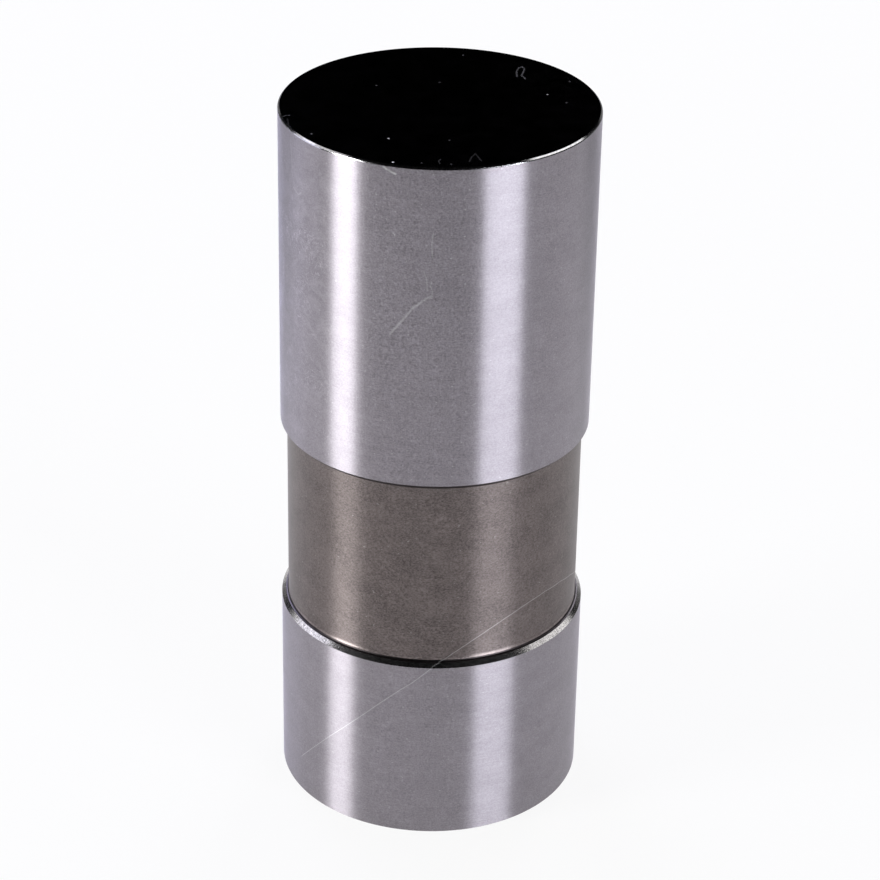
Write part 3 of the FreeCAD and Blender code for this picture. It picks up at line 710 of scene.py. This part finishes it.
def spring_mesh(name, sizes, first, last, cuts=()):
    """Round wire wound about Z as a closed mesh, from height first to last at its middle, in metres.

    Its ends are cut flat at the heights in cuts, each with the side that is cut away.
    """
    wire_radius, ring_radius, turns, closed_pitch = sizes
    wire_radius, ring_radius, closed_pitch = wire_radius * MM, ring_radius * MM, closed_pitch * MM
    coil = (turns, ring_radius, first, last, closed_pitch)
    mesh = bmesh.new()
    steps = round(turns * RINGS_PER_TURN)
    rings = []
    for step in range(steps + 1):
        at = turns * step / steps
        middle = coil_middle(at, *coil)
        ahead = coil_middle(min(at + DIRECTION_REACH, turns), *coil)
        behind = coil_middle(max(at - DIRECTION_REACH, 0.0), *coil)
        along = (ahead - behind).normalized()
        outward = Vector((middle.x, middle.y, 0.0))
        outward = (outward - along * outward.dot(along)).normalized()
        side = along.cross(outward)
        ring = []
        for point in range(POINTS_PER_RING):
            turn = 2 * math.pi * point / POINTS_PER_RING
            towards = math.cos(turn) * outward + math.sin(turn) * side
            ring.append(mesh.verts.new(middle + wire_radius * towards))
        rings.append(ring)
    for ring, following in zip(rings, rings[1:]):
        for point in range(POINTS_PER_RING):
            after = (point + 1) % POINTS_PER_RING
            mesh.faces.new((ring[point], ring[after], following[after], following[point]))
    mesh.faces.new(list(reversed(rings[0])))
    mesh.faces.new(rings[-1])
    for height, outward_z in cuts:
        whole = mesh.verts[:] + mesh.edges[:] + mesh.faces[:]
        cut = bmesh.ops.bisect_plane(mesh, geom=whole, plane_co=(0, 0, height), plane_no=(0, 0, outward_z),
                                     clear_outer=True, dist=CUT_SLACK)
        edges = [e for e in cut["geom_cut"] if isinstance(e, bmesh.types.BMEdge)]
        bmesh.ops.contextual_create(mesh, geom=edges)
    bmesh.ops.recalc_face_normals(mesh, faces=mesh.faces[:])
    piece = object_of(name, mesh)
    for face in piece.data.polygons:
        face.use_smooth = len(face.vertices) == 4
    return piece


def add_springs(wire_steel):
    """The plunger spring, which shortens towards the well's floor, and the ball's spring under its cage."""
    low, high = (corner.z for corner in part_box("plunger_spring"))
    ground_away = (PLUNGER_SPRING[0] - GROUND_TIP) * MM
    big = spring_mesh("plunger_spring_wire", PLUNGER_SPRING, low - ground_away, high + ground_away,
                      cuts=((low, -1), (high, 1)))
    big.data.materials.append(wire_steel)
    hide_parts("plunger_spring")
    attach(big, "body")
    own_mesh(big)

    low, high = (corner.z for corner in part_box("ball_spring"))
    wire_radius = BALL_SPRING[0] * MM
    small = spring_mesh("ball_spring_wire", BALL_SPRING, low + wire_radius, high - wire_radius)
    small.data.materials.append(wire_steel)
    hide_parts("ball_spring")
    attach(small, "plunger")
    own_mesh(small)


def dress_nodes():
    """Finer meshes for the body and the springs. The other solids keep their shapes and get new steels."""
    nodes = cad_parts
    dress_body(fine_body())
    wire = plain_steel("drawn_wire", (0.36, 0.35, 0.34), 0.3, grain_scale=9000.0)
    sheet = plain_steel("pressed_sheet", (0.50, 0.48, 0.45), 0.32, grain_scale=4000.0)
    seat = plain_steel("hardened_seat", (0.40, 0.385, 0.375), 0.27, streak=(300.0, 5000.0))
    ground = plain_steel("ground_plunger", (0.46, 0.45, 0.455), 0.25, streak=(300.0, 8000.0))
    ball = plain_steel("polished_ball", (0.66, 0.66, 0.67), 0.08, grain_level=0.03, bump_height=0.2e-6)
    for node, steel in (
        ("retaining_clip", wire),
        ("metering_disc", sheet),
        ("ball_cage", sheet),
        ("pushrod_seat", seat),
        ("plunger", ground),
        ("check_ball", ball),
    ):
        nodes[node].data.materials.clear()
        nodes[node].data.materials.append(steel)
    add_springs(wire)


# Light. Azimuths are seen from the lifter, from the camera's side towards +X; elevations are from the floor.
LAMP_WHITE = (1.0, 1.0, 1.0)
COOL_LEFT = (0.86, 0.88, 1.22)
COOL_RIGHT = (0.95, 0.96, 1.08)
LAMP_FAR = 0.6
LAMP_CLOSE = 0.1
# Softboxes: name, azimuths, elevations, radiance, colour, and distance in metres. The keys make the lands'
# two stripes, and the rest the light at both sides.
SOFTBOXES = (
    ("key_left", (-76, -57), (3, 27), 17.2, (0.985, 1.0, 1.0), LAMP_FAR),
    ("key_right", (31.5, 60), (3, 27), 10.5, (0.955, 0.985, 1.05), LAMP_FAR),
    ("side_left", (-113, -86), (25, 50), 0.75, (0.92, 0.93, 1.12), LAMP_CLOSE),
    ("back_left_low", (-126, -104), (0.5, 6), 1.3, COOL_LEFT, LAMP_FAR),
    ("back_left_high", (-150, -126), (32, 48), 3.2, COOL_LEFT, LAMP_FAR),
    ("back_left_end", (-170, -146), (20, 40), 7.0, COOL_LEFT, LAMP_FAR),
    ("back_right_high", (132, 150), (32, 48), 2.4, COOL_RIGHT, LAMP_FAR),
    ("back_right_end", (150, 170), (20, 40), 7.5, COOL_RIGHT, LAMP_FAR),
)
# Steps of the lamps that the shoulder's bevel mirrors, the same on each side: azimuths to the right and
# elevations. Then each side, its name and its radiance.
BEVEL_LAMPS = (((86, 98), (34, 53)), ((98, 111), (26, 48)), ((111, 124), (17, 40)))
BEVEL_SIDES = ((-1, "left", 0.6), (1, "right", 1.1))
# A wide soft light from above: its radiance, width and height over the floor.
OVERHEAD_RADIANCE = 0.2
OVERHEAD_WIDTH = 1.2
OVERHEAD_HEIGHT = 1.3


def area_lamp(name, width, height, radiance, colour=LAMP_WHITE):
    """A rectangular lamp that shows this radiance where it is mirrored. The camera doesn't see it."""
    light = bpy.data.lights.new(name, "AREA")
    light.shape = "RECTANGLE"
    light.size = width
    light.size_y = height
    light.energy = radiance * math.pi * width * height
    light.color = colour
    lamp = bpy.data.objects.new(name, light)
    lamp.visible_camera = False
    bpy.context.scene.collection.objects.link(lamp)
    return lamp


def softbox(name, azimuths, elevations, radiance, colour=LAMP_WHITE, distance=LAMP_FAR):
    """An upright softbox that fills a range of azimuths and of elevations, seen from the origin."""
    start, end = (math.radians(azimuth) for azimuth in azimuths)
    middle = (start + end) / 2
    low, high = (distance * math.tan(math.radians(elevation)) for elevation in elevations)
    lamp = area_lamp(name, 2 * distance * math.tan((end - start) / 2), high - low, radiance, colour)
    outward = Vector((math.sin(middle), -math.cos(middle), 0.0))
    up = Vector((0.0, 0.0, 1.0))
    turn = Matrix((up.cross(outward), up, outward)).transposed().to_4x4()
    lamp.matrix_world = Matrix.Translation(outward * distance + up * (low + high) / 2) @ turn


def add_lamps():
    """The softboxes, the bevel's lamps, and a light from above that evens the floor and isn't mirrored."""
    for lamp in SOFTBOXES:
        softbox(*lamp)
    for side, name, radiance in BEVEL_SIDES:
        for part, (azimuths, elevations) in enumerate(BEVEL_LAMPS):
            on_side = sorted(side * azimuth for azimuth in azimuths)
            softbox(f"bevel_{name}_{part}", on_side, elevations, radiance)
    overhead = area_lamp("overhead", OVERHEAD_WIDTH, OVERHEAD_WIDTH, OVERHEAD_RADIANCE)
    overhead.location = (0.0, 0.0, OVERHEAD_HEIGHT)
    overhead.visible_glossy = False


# What the metal mirrors above the floor: a wall that brightens from the front to the back on each side, over
# these azimuths, and ends over these elevations under a black ceiling.
WALL_FRONT = 0.015
WALL_BACK = 0.15
WALL_RIGHT = (100, 140)
WALL_LEFT = (70, 100)
WALL_TOP = (5, 9)
# The even light from all round that falls on everything.
AMBIENT = 0.2


def add_world():
    """White to the eye, an even light, and in reflections a low pale wall under a dark ceiling."""
    world = bpy.data.worlds.new("studio")
    bpy.context.scene.world = world
    world.use_nodes = True
    g = Graph(world.node_tree)
    x, y, z = g.split(g.node("ShaderNodeTexCoord").outputs["Generated"])
    azimuth = g.angle_round_axis(x, y)
    right = g.ease(azimuth, *(math.radians(part) for part in WALL_RIGHT), WALL_FRONT, WALL_BACK)
    left = g.ease(azimuth, *(math.radians(-part) for part in reversed(WALL_LEFT)), WALL_BACK, WALL_FRONT)
    below_ceiling = g.ease(z, *(math.sin(math.radians(part)) for part in WALL_TOP), 1.0, 0.0)
    wall = g.times(g.greatest(left, right), below_ceiling)
    path = g.node("ShaderNodeLightPath")
    mirrored = g.greatest(path.outputs["Is Glossy Ray"], path.outputs["Is Transmission Ray"])
    strength = g.greatest(g.mix(mirrored, AMBIENT, wall), path.outputs["Is Camera Ray"])
    background = g.node("ShaderNodeBackground", (1.0, 1.0, 1.0), strength)
    g.node("ShaderNodeOutputWorld", background.outputs[0])


FLOOR_HALF = 3.0
FLOOR_COLOUR = (0.86, 0.86, 0.86)
# How much of what the eye and the metal see of the floor is its own white. The rest is lit, so it keeps
# shadows.
FLOOR_WHITE = 0.88
# How that white darkens in reflections: towards the front, near the lifter, far from it, to the right, and
# behind. Each has from and to, in metres, and the strengths there.
FRONT_FADE = (-0.22, -0.05, 0.2, 1.0)
# Painted shade: the floor's white is darkened near the lifter, as its contact shade seen in reflections.
CONTACT_SHADE_FADE = (0.015, 0.07, 0.74, 0.98)
FAR_FADE = (0.12, 0.3, 1.0, 0.15)
RIGHT_FADE = (-0.03, 0.02, 1.0, 0.9)
# Painted shadow: the floor's white is darkened behind the lifter, as its shadow seen in reflections.
BEHIND_SHADOW_FADE = (0.03, 0.1, 1.0, 0.55)


def pale_floor():
    """The floor's material: lit paint, with a share of plain white for the eye and for reflections."""
    material = bpy.data.materials.new("pale_floor")
    material.use_nodes = True
    g = Graph(material.node_tree)
    place = g.node("ShaderNodeNewGeometry").outputs["Position"]
    x, y, _ = g.split(place)
    away = g.vector("LENGTH", place)
    fades = ((y, FRONT_FADE), (away, CONTACT_SHADE_FADE), (away, FAR_FADE), (x, RIGHT_FADE), (y, BEHIND_SHADOW_FADE))
    # The fades near and behind the lifter paint its shade and its shadow into this white.
    mirrored = g.times(*(g.ease(source, *fade) for source, fade in fades))
    path = g.node("ShaderNodeLightPath")
    to_eye = path.outputs["Is Camera Ray"]
    seen = g.greatest(to_eye, path.outputs["Is Glossy Ray"], path.outputs["Is Transmission Ray"])
    lit = g.node("ShaderNodeBsdfDiffuse", FLOOR_COLOUR)
    white = g.node("ShaderNodeEmission", (1.0, 1.0, 1.0), g.greatest(mirrored, to_eye))
    both = g.node("ShaderNodeMixShader", g.times(seen, FLOOR_WHITE), lit.outputs[0], white.outputs[0])
    g.node("ShaderNodeOutputMaterial", both.outputs[0])
    return material


def add_floor():
    """A wide pale floor under the lifter."""
    mesh = bpy.data.meshes.new("floor")
    half = FLOOR_HALF
    corners = [(-half, -half, 0.0), (half, -half, 0.0), (half, half, 0.0), (-half, half, 0.0)]
    mesh.from_pydata(corners, [], [(0, 1, 2, 3)])
    mesh.materials.append(pale_floor())
    floor = bpy.data.objects.new("floor", mesh)
    bpy.context.scene.collection.objects.link(floor)


# The camera, as the photograph's outline gives it.
CAMERA_PLACE = Vector((0.0, -179.24, 122.17)) * MM
CAMERA_PITCH = math.radians(28.2795)
CAMERA_YAW = math.radians(-0.128)
CAMERA_ROLL = math.radians(1.0811)
CAMERA_LENS = 119.395
CAMERA_CLIP = (0.01, 20.0)
SENSOR = 36.0


def add_camera():
    """The camera, pitched down and then rolled about its own line of sight."""
    level = Vector((-math.sin(CAMERA_YAW), math.cos(CAMERA_YAW), 0.0))
    right = Vector((math.cos(CAMERA_YAW), math.sin(CAMERA_YAW), 0.0))
    up = Vector((0.0, 0.0, 1.0))
    ahead = math.cos(CAMERA_PITCH) * level - math.sin(CAMERA_PITCH) * up
    above = math.sin(CAMERA_PITCH) * level + math.cos(CAMERA_PITCH) * up
    rolled_right = math.cos(CAMERA_ROLL) * right + math.sin(CAMERA_ROLL) * above
    rolled_above = math.cos(CAMERA_ROLL) * above - math.sin(CAMERA_ROLL) * right
    data = bpy.data.cameras.new("camera")
    data.sensor_width = SENSOR
    data.lens = CAMERA_LENS
    data.clip_start, data.clip_end = CAMERA_CLIP
    camera = bpy.data.objects.new("camera", data)
    axes = Matrix((rolled_right, rolled_above, -ahead)).transposed().to_4x4()
    camera.matrix_world = Matrix.Translation(CAMERA_PLACE) @ axes
    bpy.context.scene.collection.objects.link(camera)
    bpy.context.scene.camera = camera


dress_nodes()
add_lamps()
add_world()
add_floor()
add_camera()
bpy.context.scene.view_settings.view_transform = "Standard"
